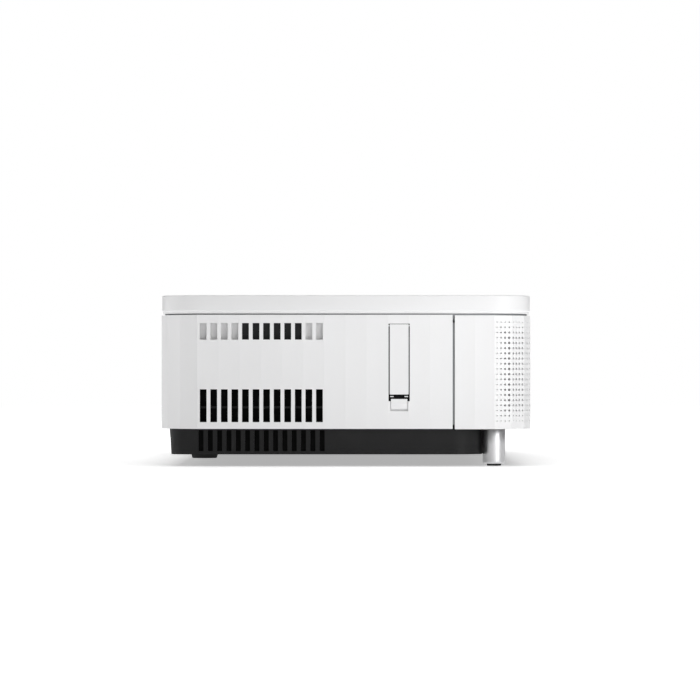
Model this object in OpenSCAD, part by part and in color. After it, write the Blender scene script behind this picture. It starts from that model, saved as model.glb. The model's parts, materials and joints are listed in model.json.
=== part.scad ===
// Ultra-short-throw home projector, standing on two adjustable front feet and one rear foot.
// +Z is up, the front (loudspeaker) face looks along -Y, the wall side along +Y.
// The origin is on the surface that it stands on, at the middle of its bounding box.

/* [Body] */
// Width over the side panels
body_w = 695; // [660:1:740]
// Depth from the front cover to the rear panel
body_d = 341; // [335:1:350]
// Height of the top face above the table
body_h = 157; // [155:1:165]
// Size of the faceted corners in plan
corner = 34.2; // [32:0.1:36]
// Wall thickness of the white panels
wall = 3; // [2.5:0.1:3.5]

/* [Levels] */
// Underside of the white panels
shell_z0 = 34.4; // [34:0.1:36]
// Upper edge of the white panels
shell_z1 = 138.9; // [137:0.1:139.5]
// Lower edge of the top cover
top_z0 = 142.4; // [141.5:0.1:143.5]
// Step in from the panels to the top cover
top_inset = 0.4; // [0.2:0.1:1]
// Lower edge of the lip round the top cover
lip_z0 = 140.2; // [140:0.1:141]
// Underside of the black base
base_z0 = 10.8; // [10:0.1:13]

/* [Side panels] */
// Y of the middle of the seam between side panel and front cover
seam_y = -98.7; // [-100:0.1:-97]
// Width of that seam
seam_gap = 2; // [1:0.1:2]
// Number of air slots in each row
slot_n = 12; // [8:1:12]
// Distance between the air slots
slot_pitch = 9.68; // [9:0.01:10]
// Width of an air slot
slot_w = 6.2; // [4:0.1:7]
// Y of the rearmost air slot
slot_y0 = 130.8; // [125:0.1:132]

/* [Focus door] */
// Y of the middle of the door
door_y = -48.7; // [-50:0.1:-47]
// Width of the door
door_w = 17.4; // [15:0.1:17.5]
// Lower edge of the door
door_z0 = 65.9; // [65:0.1:68]
// Upper edge of the door
door_z1 = 130.4; // [128:0.1:130.4]
// Travel of the latch tab
latch_travel = 1.5; // [1:0.1:1.6]

/* [Feet] */
// Distance between the front feet
foot_span = 630; // [600:1:636]
// Y of the front feet
foot_y = -136.8; // [-138:0.1:-134]
// Diameter of the front feet
foot_d = 21; // [16:0.1:22]
// Y of the rear foot
rear_foot_y = 143; // [135:1:145]

/* [Optics] */
// Height of the lens axis
axis_z = 85; // [80:1:88]
// Radius of the lens barrel
barrel_r = 30; // [28:0.5:32]
// Length of the focus lever
lever_r = 30.5; // [29:0.1:31]
// Length of the focus crank
crank_r = 10; // [9:0.1:11]

/* [Fans] */
// Side of the square fan frames
fan_side = 92; // [80:1:92]
// Thickness of the fans
fan_t = 25; // [20:1:26]

/* [Hidden] */
$fn = 64;
half_w = body_w / 2;
half_d = body_d / 2;
slip = 0.05;                       // radial clearance of a running fit
gap = 0.5;                         // gap round a loose cover
turns = [24, 45.5, 69];            // directions of the three corner facets
headings = concat([0], turns, [90]);
chord = corner / (cos(turns[0]) + cos(turns[1]) + cos(turns[2]));
return_x = 293;                    // where the side panels' rear returns end
rear_gap = 0.8;
plate_z = 40;                      // top face of the chassis plate
plate_t = 2;
tub_x = 338;
tub_y0 = -126;
tub_y1 = 162.6;
nose_x = 285;                      // half width of the tub's shallow front step
nose_y = -141;
nose_r = 8;
tub_r = 14;
tub_front_r = 28;
tub_t = 3;
flange_t = 3;
cover_z0 = 34.1;                   // underside of the front cover
cover_z1 = shell_z1 - 0.4;         // its upper edge
upper_slots = [116.2, 131.4];
lower_slots = [40.6, 70.7];
base_slot_n = 14;
base_slot_pitch = 8.56;
base_slot_w = 4.6;
base_slot_y0 = 133.2;
base_slots = [13.8, 33];
baffle_window = [40.7, 95.4];      // Y range of the opening in the upper baffles
frame_h = 4.5;                     // how far the upper frame reaches down behind the panels
window_y = 78;                     // middle of the recess in the top
recess = [320, 140];
recess_r = 10;
bezel_z0 = 128;
glass = [218, 88, 2.5];
glass_y = 60;
lever_axis = [-18, 92];            // Y and Z of the focus shaft
lever_x = -333;
bracket_x = [-310, -104];
crank_x = -90;
door_pin_d = 1.4;
door_pin = [-half_w + 1.4, door_z1 - 1.4];
door_open_w = door_w + 2;
tab_w = 15.1;
tab_z = [52.6, 60.6];
tab_open_z0 = tab_z[0] - latch_travel - 0.4;
bush_d = 14;
stud_d = 8;
spring_z0 = 40;
spring_h = 8;
pad_t = 2;
pad_d = 13.5;
fan_y = 80;
fan_z = 87.5;
fan_bore = 88;
exhaust_x = -334;
intake_x = 283;
hub_d = 34;
fan_axle = 4;
io_x = [-250, -70];
io_z = [62, 106];
io_back = 156;
inlet_x = 245;
inlet_z = 84;
button_y = -62;
button_z = 112;
button_d = 16;
filter_y = [15.5, 140];
filter_z = [38.4, 76];
wheel_x = -128;
wheel_y = 128;
wheel_z = 70.5;
speaker_x = 225;
speaker_box = [128, 36, 84];
speaker_y = -162;
speaker_z = 80;                    // height of the loudspeakers' axes
mount_x = 75;
mount_y = [-8.3, 130];
post_xy = [[-326, -112], [-326, 148], [326, -112], [326, 148]];
flange_z1 = shell_z0 + flange_t;
boss_xy = [[-300, 100], [-300, -90], [0, -110], [0, 148], [300, 100], [300, -90]];
boss_d = 12;
post_d = 10;
case_screw_d = 3.2;
screw_hole_d = 3.4;                // clearance hole for an M3 screw
mount_boss_d = 15;
mount_hole_d = 4;                  // stands for an M4 thread
light_xy = [[-14, -148], [0, -148], [14, -148]];
light_d = 4;
ir_z = 49;                         // height of the remote-control window
ir_size = [34, 9];
sensor_x = 132;
sensor_pitch = 40;
sensor_d = 7.8;
lever_end = 5;                     // thickness of the focus lever's arm
shaft_d = 6;

// Middle X, middle Z, width and height of each signal socket
socket_list = [
    [-232, 92, 17, 8], [-206, 92, 17, 8], [-178, 92, 15, 8], [-154, 92, 15, 8], [-130, 92, 11, 7],
    [-108, 90, 11, 11], [-86, 88, 12, 12]
];

// Sum of the first n values of f
function total(f, n) = n == 0 ? 0 : f[n - 1] + total(f, n - 1);

// Vertex i of the faceted corner in the +X +Y quarter, moved inwards by d
function corner_vertex(i, d) =
    let (
        middle = (headings[i] + headings[i + 1]) / 2,
        reach = d / cos((headings[i + 1] - headings[i]) / 2)
    ) [
        half_w - chord * total([for (a = turns) sin(a)], i) - reach * cos(middle),
        half_d - corner + chord * total([for (a = turns) cos(a)], i) - reach * sin(middle)
    ];

// Outline of the body in plan, moved inwards by d
function outline(d) = concat(
    [for (i = [0:3]) corner_vertex(i, d)],
    [for (i = [3:-1:0]) [-corner_vertex(i, d)[0], corner_vertex(i, d)[1]]],
    [for (i = [0:3]) -corner_vertex(i, d)],
    [for (i = [3:-1:0]) [corner_vertex(i, d)[0], -corner_vertex(i, d)[1]]]
);

// Wall between two insets of the outline
module ring(d0, d1, z0, z1) {
    translate([0, 0, z0])
        linear_extrude(z1 - z0)
            difference() {
                polygon(outline(d0));
                polygon(outline(d1));
            }
}

// Box given by its lowest and highest corners
module span(a, b) {
    translate(a)
        cube(b - a);
}

module round_rect(size, r) {
    square([size[0] - 2 * r, size[1]], center = true);
    square([size[0], size[1] - 2 * r], center = true);
    for (x = [-1, 1], y = [-1, 1])
        translate([x * (size[0] / 2 - r), y * (size[1] / 2 - r)])
            circle(r);
}

// Bar along X with a rounded rectangle for its section: a cutter for openings in a side wall
module side_window(x0, x1, y, z, w, h, r) {
    translate([x0, y, z])
        rotate([90, 0, 90])
            linear_extrude(x1 - x0)
                round_rect([w, h], r);
}

module x_rod(x0, x1, y, z, d) {
    translate([x0, y, z])
        rotate([0, 90, 0])
            cylinder(d = d, h = x1 - x0);
}

module y_rod(x, y0, y1, z, d) {
    translate([x, y1, z])
        rotate([90, 0, 0])
            cylinder(d = d, h = y1 - y0);
}

// A row of upright slots through a side wall
module slot_row(x0, x1, n, y0, pitch, w, z) {
    for (k = [0:n - 1])
        side_window(x0, x1, y0 - k * pitch, (z[0] + z[1]) / 2, w, z[1] - z[0], 0.5);
}

// ---- base ----

// Plan of the tub below the white panels, moved inwards by d
module tub_plan(d) {
    back_r = tub_r - d;
    front_r = tub_front_r - d;
    x = tub_x - d;
    y0 = tub_y0 + d;
    y1 = tub_y1 - d;
    translate([-x, y0 + front_r])
        square([2 * x, y1 - y0 - front_r - back_r]);
    translate([-x + front_r, y0])
        square([2 * (x - front_r), front_r + 1]);
    translate([-x + back_r, y1 - back_r - 1])
        square([2 * (x - back_r), back_r + 1]);
    translate([0, (nose_y + d + y0 + front_r) / 2])
        round_rect([2 * (nose_x - d), y0 + front_r - nose_y - d], nose_r - d);
    for (s = [-1, 1]) {
        translate([s * (x - front_r), y0 + front_r])
            circle(front_r);
        translate([s * (x - back_r), y1 - back_r])
            circle(back_r);
    }
}

module base_tray() {
    floor_z = base_z0 + tub_t;
    color("#1c1c1e")
        difference() {
            union() {
                difference() {
                    translate([0, 0, base_z0])
                        linear_extrude(shell_z0 - base_z0)
                            tub_plan(0);
                    translate([0, 0, floor_z])
                        linear_extrude(flange_z1)
                            tub_plan(tub_t);
                }
                translate([0, 0, shell_z0])
                    linear_extrude(flange_t)
                        difference() {
                            polygon(outline(wall + 0.2));
                            tub_plan(tub_t);
                        }
                for (p = boss_xy)
                    translate([p[0], p[1], base_z0 + 1])
                        cylinder(d = boss_d, h = plate_z - plate_t - base_z0 - 1);
                for (p = post_xy)
                    translate([p[0], p[1], base_z0 + 1])
                        cylinder(d = post_d, h = shell_z1 - frame_h - base_z0 - 1);
                for (s = [-1, 1])
                    translate([s * foot_span / 2, foot_y, shell_z0])
                        cylinder(d = bush_d + 10, h = 24);
                for (s = [-1, 1], y = mount_y)
                    translate([s * mount_x, y, base_z0 - 0.4])
                        cylinder(d = mount_boss_d, h = 13);
                for (s = [-1, 1])
                    translate([s * mount_x, -27, base_z0 - 1.2])
                        cylinder(d = 7, h = 5);
            }
            slot_row(-tub_x - 1, -tub_x + tub_t + 1, base_slot_n, base_slot_y0, base_slot_pitch,
                base_slot_w, base_slots);
            slot_row(tub_x - tub_t - 1, tub_x + 1, base_slot_n, base_slot_y0, base_slot_pitch,
                base_slot_w, base_slots);
            for (p = boss_xy)
                translate([p[0], p[1], base_z0 - 1]) {
                    cylinder(d = case_screw_d, h = plate_z);
                    cylinder(d = 7, h = 6);
                }
            for (s = [-1, 1])
                translate([s * foot_span / 2, foot_y, shell_z0 - 1])
                    cylinder(d = bush_d, h = 30);
            for (s = [-1, 1], y = mount_y)
                translate([s * mount_x, y, base_z0 - 1])
                    cylinder(d = mount_hole_d, h = 11);
        }
}

module foot_bushes() {
    color("#b08d57")
        for (s = [-1, 1])
            translate([s * foot_span / 2, foot_y, shell_z0 + 0.4])
                difference() {
                    cylinder(d = bush_d - 2 * slip, h = 23.6);
                    translate([0, 0, -1])
                        cylinder(d = stud_d + 2 * slip, h = 26);
                }
}

module foot_sleeve(s) {
    sleeve_z1 = shell_z0 - gap;
    color("#c9c9cb")
        translate([s * foot_span / 2, foot_y, 0])
            difference() {
                union() {
                    translate([0, 0, pad_t])
                        rotate_extrude()
                            polygon([
                                [0, 1.8], [7.2, 1.8], [7.2, 0], [foot_d / 2 - 1, 0], [foot_d / 2, 1],
                                [foot_d / 2, sleeve_z1 - pad_t - 0.6],
                                [foot_d / 2 - 0.6, sleeve_z1 - pad_t], [0, sleeve_z1 - pad_t]
                            ]);
                    translate([0, 0, 10])
                        cylinder(d = stud_d, h = 47);
                }
                translate([0, 0, -1])
                    cylinder(d = 4 + 2 * slip, h = 13);
            }
}

module foot_pad(s) {
    color("#141414")
        translate([s * foot_span / 2, foot_y, 0]) {
            cylinder(d = pad_d, h = pad_t + 1.5);
            cylinder(d = 4, h = 11);
        }
}

module rear_foot() {
    color("#161616")
        translate([0, rear_foot_y, 0])
            rotate_extrude()
                polygon([[0, 0], [11.9, 0], [12.6, 0.7], [15, base_z0], [0, base_z0]]);
}

// ---- white panels ----

module side_shell(s) {
    x_in = half_w + 1;
    y_out = half_d + 1;
    x = s < 0 ? [-x_in, -return_x] : [return_x, x_in];
    lip_x = s < 0 ? [-half_w, -half_w + 8] : [half_w - 8, half_w];
    intersection() {
        ring(0, wall, shell_z0, shell_z1);
        span([x[0], seam_y + seam_gap / 2, 0], [x[1], y_out, body_h]);
    }
    intersection() {
        ring(wall, wall + 1.6, shell_z0 + flange_t + 1, shell_z1 - 7);
        span([lip_x[0], seam_y - 6, 0], [lip_x[1], seam_y + 8, body_h]);
    }
}

module door_hinge_bore() {
    y_rod(door_pin[0], door_y - door_open_w / 2 - 2, door_y + door_open_w / 2 + 2, door_pin[1],
        door_pin_d);
}

module left_side_panel() {
    x0 = -half_w - 1;
    x1 = -half_w + wall + 1;
    color("#f2f2f2")
        difference() {
            side_shell(-1);
            slot_row(x0, x1, slot_n, slot_y0, slot_pitch, slot_w, upper_slots);
            slot_row(x0, x1, slot_n, slot_y0, slot_pitch, slot_w, lower_slots);
            span([x0, door_y - door_open_w / 2, tab_z[1] - 0.9],
                [x1, door_y + door_open_w / 2, door_z1 + 0.4]);
            span([x0, door_y - tab_w / 2 - gap, tab_open_z0],
                [x1, door_y + tab_w / 2 + gap, tab_z[1]]);
            door_hinge_bore();
        }
    color("#f2f2f2")
        span([-half_w + wall, door_y - 6, spring_z0 - 1.5],
            [-half_w + wall + 5, door_y + 6, spring_z0]);
}

module right_side_panel() {
    x0 = half_w - wall - 1;
    x1 = half_w + 1;
    color("#f2f2f2")
        difference() {
            side_shell(1);
            slot_row(x0, x1, slot_n, slot_y0, slot_pitch, slot_w, upper_slots);
            span([x0 - 3, filter_y[0], filter_z[0]], [x1, filter_y[1], filter_z[1]]);
            x_rod(x0, x1, button_y, button_z, button_d + 0.6);
        }
}

module rear_panel() {
    edge = return_x - rear_gap;
    color("#f0f0f0")
        difference() {
            union() {
                intersection() {
                    ring(0, wall, shell_z0, shell_z1);
                    span([-edge, 0, 0], [edge, half_d + 1, body_h]);
                }
                for (s = [-1, 1])
                    intersection() {
                        ring(wall, wall + 1.6, shell_z0 + flange_t + 1, shell_z1 - 7);
                        span([s * edge - 7, 0, 0], [s * edge + 7, half_d, body_h]);
                    }
            }
            span([io_x[0], io_back, io_z[0]], [io_x[1], half_d + 1, io_z[1]]);
            translate([inlet_x, half_d + 1, inlet_z])
                rotate([90, 0, 0])
                    linear_extrude(wall + 2)
                        round_rect([33, 27], 3);
        }
}

module front_cover() {
    color("#f4f4f4")
        difference() {
            intersection() {
                ring(0, wall, cover_z0, cover_z1);
                span([-half_w - 1, -half_d - 1, 0],
                    [half_w + 1, seam_y - seam_gap / 2, body_h]);
            }
            translate([0, -half_d + wall + 1, ir_z])
                rotate([90, 0, 0])
                    linear_extrude(wall + 2)
                        round_rect([ir_size[0] + 0.6, ir_size[1] + 0.6], 4.5);
        }
}

module speaker_mesh() {
    color("#2a2a2c")
        difference() {
            intersection() {
                ring(wall + 0.4, wall + 1.2, 38, 134);
                span([-half_w, -half_d, 0], [half_w, -141, body_h]);
            }
            translate([0, -half_d + wall + 3, ir_z])
                rotate([90, 0, 0])
                    linear_extrude(wall + 2)
                        round_rect([ir_size[0] + 2, ir_size[1] + 2], 5);
        }
}

module upper_frame() {
    color("#8d8f92")
        ring(wall + 0.3, wall + 6, shell_z1 - frame_h, top_z0);
}

module top_cover() {
    color("#f6f6f6")
        difference() {
            union() {
                ring(top_inset, 4, top_z0, body_h - 3.4);
                ring(top_inset + 0.9, wall + 0.2, lip_z0, top_z0 + 0.1);
                translate([0, 0, body_h - 3.5])
                    linear_extrude(3.5)
                        polygon(outline(top_inset));
            }
            translate([0, window_y, body_h - 10])
                linear_extrude(20)
                    round_rect(recess, recess_r);
            for (p = light_xy)
                translate([p[0], p[1], body_h - 5])
                    cylinder(d = light_d + 0.2, h = 10);
        }
}

// ---- window recess ----

module window_bezel() {
    color("#151517")
        translate([0, window_y, 0])
            difference() {
                union() {
                    translate([0, 0, bezel_z0])
                        linear_extrude(body_h - 0.6 - bezel_z0)
                            round_rect([recess[0] - 0.8, recess[1] - 0.8], recess_r - 0.4);
                    translate([0, 0, body_h - 6.5])
                        linear_extrude(2.9)
                            round_rect([recess[0] + 14, recess[1] + 14], recess_r + 7);
                }
                translate([0, 0, bezel_z0 + 2.5])
                    linear_extrude(40)
                        round_rect([recess[0] - 6, recess[1] - 6], recess_r - 3);
                translate([0, glass_y - window_y, bezel_z0 - 1])
                    linear_extrude(10)
                        round_rect([glass[0] - 10, glass[1] - 10], 4);
                for (x = [-1, 1], y = [-0.5, 0.5])
                    translate([x * sensor_x, glass_y - window_y + y * sensor_pitch, bezel_z0 - 1])
                        cylinder(d = sensor_d + 0.2, h = 10);
            }
}

module projection_window() {
    color([0.6, 0.7, 0.75, 0.4])
        translate([0, glass_y, bezel_z0 + 2.5])
            linear_extrude(glass[2])
                round_rect([glass[0], glass[1]], 6);
}

module obstacle_sensors() {
    color("#240a0a")
        for (x = [-1, 1], y = [-0.5, 0.5])
            translate([x * sensor_x, glass_y + y * sensor_pitch, bezel_z0 - 3]) {
                cylinder(d = sensor_d, h = 5.5);
                translate([0, 0, 5.5])
                    cylinder(d = 11, h = 1.6);
            }
}

// ---- focus door and lever ----

module focus_door() {
    x_out = -half_w;
    x_in = -half_w + 2.8;
    leg_x = [x_out + 1.6, x_in];
    profile = [
        [x_out, door_z0], [x_in, door_z0], [x_in, door_z1], [x_out + 0.9, door_z1],
        [x_out, door_z1 - 0.9]
    ];
    color("#f4f4f4")
        difference() {
            union() {
                translate([0, door_y + door_w / 2, 0])
                    rotate([90, 0, 0])
                        linear_extrude(door_w)
                            polygon(profile);
                for (s = [-1, 1])
                    translate([leg_x[0], door_y + s * (door_w / 2 - 2.2) - 1.6, door_z0 - 4.8])
                        cube([leg_x[1] - leg_x[0], 3.2, 5.8]);
            }
            y_rod(door_pin[0], door_y - door_w, door_y + door_w, door_pin[1],
                door_pin_d + 2 * slip);
        }
}

module door_hinge_pin() {
    reach = door_open_w / 2 + 1.9;
    color("#b9bbbd")
        y_rod(door_pin[0], door_y - reach, door_y + reach, door_pin[1], door_pin_d);
}

module latch_tab() {
    x_out = -half_w + 0.2;
    x_back = -half_w + wall;
    color("#f4f4f4") {
        span([x_out, door_y - tab_w / 2, tab_z[0]], [x_back + 0.6, door_y + tab_w / 2, tab_z[1]]);
        span([x_out - 0.1, door_y - tab_w / 2 + 0.8, 57.3],
            [x_out + 0.2, door_y + tab_w / 2 - 0.8, 58.3]);
        span([x_out, door_y - tab_w / 2, tab_z[1] - 0.2],
            [x_out + 1, door_y + tab_w / 2, tab_z[1] + 1.2]);
        span([x_back + 0.3, door_y - 10.5, spring_z0 + spring_h],
            [x_back + 1.5, door_y + 10.5, tab_z[1] - 0.8]);
    }
}

module latch_spring() {
    color("#a8aaac")
        translate([-half_w + wall + 2.6, door_y, spring_z0])
            linear_extrude(height = spring_h, twist = -360 * 6, slices = 96)
                translate([1.6, 0])
                    circle(d = 0.6, $fn = 8);
}

module focus_slot_plate() {
    plate_x = -half_w + 9.5;
    color("#1b1b1d")
        difference() {
            union() {
                span([plate_x, door_y - 15, flange_z1], [plate_x + 1.5, door_y + 15, 134]);
                for (s = [-1, 1])
                    translate([-half_w + wall + 0.2, door_y + s * 14 - 0.75, 64.5])
                        cube([plate_x + half_w - wall + 0.2, 1.5, 66]);
            }
            span([plate_x - 1, door_y - 4.5, 74], [plate_x + 3, door_y + 7, 110]);
        }
}

module focus_lever() {
    y = lever_axis[0];
    z = lever_axis[1];
    arm_y = y - lever_r;
    color("#dadada")
        union() {
            x_rod(lever_x + 1, crank_x + 3, y, z, shaft_d);
            x_rod(lever_x, lever_x + lever_end, y, z, 2 * shaft_d);
            span([lever_x, arm_y - 3, z - 3], [lever_x + lever_end, y, z + 3]);
            x_rod(lever_x - 10, lever_x + 1, arm_y, z, shaft_d);
            x_rod(crank_x, crank_x + 4, y, z, 2 * shaft_d);
            span([crank_x, y - 3, z], [crank_x + 4, y + 3, z + crank_r + 3]);
            x_rod(crank_x + 1, crank_x + 11, y, z + crank_r, 4);
        }
}

module shaft_brackets() {
    color("#9fa2a6")
        for (x = bracket_x)
            difference() {
                union() {
                    span([x, lever_axis[0] - 10, plate_z], [x + 3, lever_axis[0] + 10, lever_axis[1]]);
                    x_rod(x, x + 3, lever_axis[0], lever_axis[1], 20);
                    span([x, lever_axis[0] - 10, plate_z], [x + 16, lever_axis[0] + 10, plate_z + 2]);
                }
                x_rod(x - 1, x + 4, lever_axis[0], lever_axis[1], shaft_d + 2 * slip);
            }
}

// ---- optics ----

module focus_cell() {
    fork_x = crank_x + 6;
    fork_y = lever_axis[0];
    fork_z = lever_axis[1] + crank_r;
    color("#26262a") {
        difference() {
            y_rod(0, 0, 48, axis_z, 2 * (barrel_r - 3 - slip));
            y_rod(0, 3, 49, axis_z, 2 * (barrel_r - 7));
            y_rod(0, -1, 4, axis_z, 2 * (barrel_r - 9));
        }
        span([fork_x, 5, 94], [-22, 13, 101]);
        difference() {
            span([fork_x, fork_y - 7, 94], [fork_x + 4, 13, fork_z + 9]);
            span([fork_x - 1, fork_y - 2.4, fork_z - 4], [fork_x + 5, fork_y + 2.4, fork_z + 4]);
        }
    }
}

module lens_barrel() {
    color("#2e2e32")
        difference() {
            union() {
                y_rod(0, 22, 106, axis_z, 2 * barrel_r);
                y_rod(0, 94, 99, axis_z, 2 * barrel_r + 12);
            }
            y_rod(0, 21, 72, axis_z, 2 * (barrel_r - 3));
            y_rod(0, 71, 107, axis_z, 2 * (barrel_r - 6));
        }
}

module relay_lens() {
    lens_r = 95;
    color([0.7, 0.8, 0.9, 0.5])
        translate([0, 12, axis_z])
            rotate([90, 0, 0])
                intersection() {
                    cylinder(r = barrel_r - 7.1, h = 20, center = true);
                    translate([0, 0, lens_r - 5])
                        sphere(r = lens_r, $fn = 128);
                    translate([0, 0, -lens_r + 5])
                        sphere(r = lens_r, $fn = 128);
                }
}

module aspheric_mirror() {
    color("#d5dbe0")
        difference() {
            span([-70, -32, 58], [70, -8, 122]);
            translate([0, 150, 100])
                sphere(r = 172, $fn = 128);
        }
}

module mirror_bracket() {
    color("#9fa2a6") {
        span([-66, -35, plate_z], [66, -32.1, 112]);
        span([-66, -52, plate_z], [66, -35, plate_z + 2]);
        for (s = [-1, 1])
            span([s * 50 - 1.5, -50, plate_z + 2], [s * 50 + 1.5, -35, 90]);
    }
}

module optical_engine_case() {
    color("#303236")
        difference() {
            span([-62, 106.1, plate_z], [62, 162, 124]);
            span([-59.5, 109, plate_z + 3], [59.5, 159.5, 130]);
            y_rod(0, 100, 112, axis_z, 2 * barrel_r - 8);
        }
}

module prism_block() {
    color([0.75, 0.85, 0.95, 0.5])
        difference() {
            span([-17, 117, plate_z + 3], [17, 151, 104]);
            span([-18, 116, plate_z + 2], [18, 152, axis_z - 19]);
        }
}

module lcd_panels() {
    color("#3b5b52") {
        for (s = [-1, 1])
            span([s * 20 - 1.5, 119, plate_z + 3], [s * 20 + 1.5, 149, 106]);
        span([-15, 152.5, plate_z + 3], [15, 155.5, 106]);
    }
}

module laser_module() {
    color("#6d6f73")
        difference() {
            union() {
                span([-172, 52, plate_z], [-92, 114, 74]);
                for (i = [0:3], j = [0:2])
                    translate([-160 + i * 18, 64 + j * 19, 74])
                        cylinder(d = 10, h = 6);
                span([-92.1, 70, 50], [-66, 90, 66]);
            }
            for (x = [-167, -97])
                translate([x, 57, plate_z - 1])
                    cylinder(d = 3.4, h = 40);
        }
}

module heat_sink() {
    color("#b7babd") {
        span([-296, 36, plate_z], [-176, 124, plate_z + 6]);
        for (i = [0:16])
            span([-294 + i * 7.25, 36, plate_z + 5], [-292.6 + i * 7.25, 124, 122]);
    }
}

module wheel_motor() {
    color("#55585c") {
        y_rod(wheel_x, wheel_y + 4, wheel_y + 18, wheel_z, 24);
        y_rod(wheel_x, wheel_y - 2, wheel_y + 5, wheel_z, 3);
        span([wheel_x - 14, wheel_y + 12, plate_z], [wheel_x + 14, wheel_y + 15, wheel_z - 8]);
        span([wheel_x - 14, wheel_y + 15, plate_z], [wheel_x + 14, wheel_y + 27, plate_z + 2]);
    }
}

module phosphor_wheel() {
    color("#e3c94b")
        difference() {
            union() {
                y_rod(wheel_x, wheel_y, wheel_y + 1.5, wheel_z, 58);
                y_rod(wheel_x, wheel_y - 3, wheel_y + 3, wheel_z, 18);
            }
            y_rod(wheel_x, wheel_y - 4, wheel_y + 4, wheel_z, 3 + 2 * slip);
            y_rod(wheel_x + 12, wheel_y - 4, wheel_y + 4, wheel_z, 3);
        }
}

// ---- electronics ----

module chassis_frame() {
    color("#a9acb0")
        difference() {
            union() {
                span([-322, -118, plate_z - plate_t], [322, 150, plate_z]);
                for (s = [-1, 1])
                    span([s * 321 - 1, -100, plate_z - plate_t], [s * 321 + 1, 10, 60]);
            }
            for (i = [0:3])
                span([125 + i * 38, 40, 30], [150 + i * 38, 120, 50]);
            for (p = boss_xy)
                translate([p[0], p[1], 30])
                    cylinder(d = screw_hole_d, h = 20);
            for (p = post_xy)
                translate([p[0], p[1], 30])
                    cylinder(d = post_d + 1, h = 20);
        }
}

module board(a, b, t) {
    difference() {
        span([a[0], a[1], a[2]], [b[0], b[1], a[2] + t]);
        for (x = [a[0] + 5, b[0] - 5], y = [a[1] + 5, b[1] - 5])
            translate([x, y, a[2] - 1])
                cylinder(d = 3.3, h = t + 2);
    }
    for (x = [a[0] + 5, b[0] - 5], y = [a[1] + 5, b[1] - 5])
        translate([x, y, plate_z])
            difference() {
                cylinder(d = 6, h = a[2] - plate_z);
                translate([0, 0, -1])
                    cylinder(d = 3.3, h = a[2] - plate_z + 2);
            }
}

module main_board() {
    color("#1f6b46") {
        board([100, -100, 48], [270, 20], 1.6);
        span([150, -60, 49.6], [190, -20, 52]);
        for (i = [0:5])
            span([152 + i * 6, -60, 52], [154 + i * 6, -20, 66]);
        for (i = [0:3])
            span([210, -80 + i * 18, 49.6], [228, -70 + i * 18, 51]);
        for (i = [0:4])
            translate([245, -84 + i * 12, 49.6])
                cylinder(d = 8, h = 12);
    }
}

module power_board() {
    color("#8a6a3a") {
        board([-290, -112, 48], [-120, -36], 1.6);
        span([-230, -90, 49.6], [-190, -55, 78]);
        span([-170, -90, 49.6], [-150, -60, 70]);
        for (i = [0:2])
            translate([-270, -95 + i * 24, 49.6])
                cylinder(d = 18, h = 30);
    }
}

module fan_frame(x) {
    color("#202123")
        difference() {
            union() {
                difference() {
                    span([x, fan_y - fan_side / 2, fan_z - fan_side / 2],
                        [x + fan_t, fan_y + fan_side / 2, fan_z + fan_side / 2]);
                    x_rod(x - 1, x + fan_t + 1, fan_y, fan_z, fan_bore);
                }
                intersection() {
                    x_rod(x, x + 3, fan_y, fan_z, fan_bore + 1);
                    union() {
                        x_rod(x, x + 3, fan_y, fan_z, hub_d);
                        for (a = [45:90:315])
                            translate([x, fan_y, fan_z])
                                rotate([a, 0, 0])
                                    translate([0, -1.5, 0])
                                        cube([3, 3, fan_bore]);
                    }
                }
                x_rod(x, x + 17, fan_y, fan_z, fan_axle);
            }
            for (s = [-1, 1], t = [-1, 1])
                x_rod(x - 1, x + fan_t + 1, fan_y + s * 41.2, fan_z + t * 41.2, 4.3);
        }
}

module impeller(x) {
    color("#323437")
        difference() {
            union() {
                x_rod(x + 3.6, x + 23, fan_y, fan_z, hub_d);
                intersection() {
                    x_rod(x + 3.6, x + 23, fan_y, fan_z, fan_bore - 3);
                    for (i = [0:6])
                        translate([x + 13.3, fan_y, fan_z])
                            rotate([i * 360 / 7, 0, 0])
                                rotate([0, 0, 38])
                                    translate([-15, -0.9, 14])
                                        cube([30, 1.8, 40]);
                }
            }
            x_rod(x + 2, x + 19, fan_y, fan_z, fan_axle + 2 * slip);
        }
}

module speaker_case(s) {
    w = speaker_box[0];
    t = 3;
    color("#2b2b2d")
        translate([s * speaker_x - w / 2, speaker_y, flange_z1])
            difference() {
                cube(speaker_box);
                translate([t, t, t])
                    cube(speaker_box - [2 * t, 2 * t, 2 * t]);
                y_rod(w / 2, -1, t + 1, speaker_z - flange_z1, 64);
            }
}

module speaker_driver(s) {
    color("#3a3a3d")
        translate([s * speaker_x, speaker_y, speaker_z])
            rotate([-90, 0, 0])
                rotate_extrude()
                    polygon([
                        [0, 14], [8, 10], [24, 4], [27, 1], [31, 1], [31, -1.5], [34.5, -1.5],
                        [34.5, -0.05], [31.8, -0.05], [31.8, 4], [26, 12], [16, 16], [16, 26], [0, 26]
                    ]);
}

module vent_baffles() {
    x0 = half_w - wall - 3;
    color("#d9dadb")
        for (s = [-1, 1])
            difference() {
                translate([s < 0 ? -x0 - 1 : x0, 15, 109])
                    cube([1, 121, 25]);
                translate([s < 0 ? -x0 - 2 : x0 - 1, baffle_window[0], 111])
                    cube([3, baffle_window[1] - baffle_window[0], 21.5]);
            }
}

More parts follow.
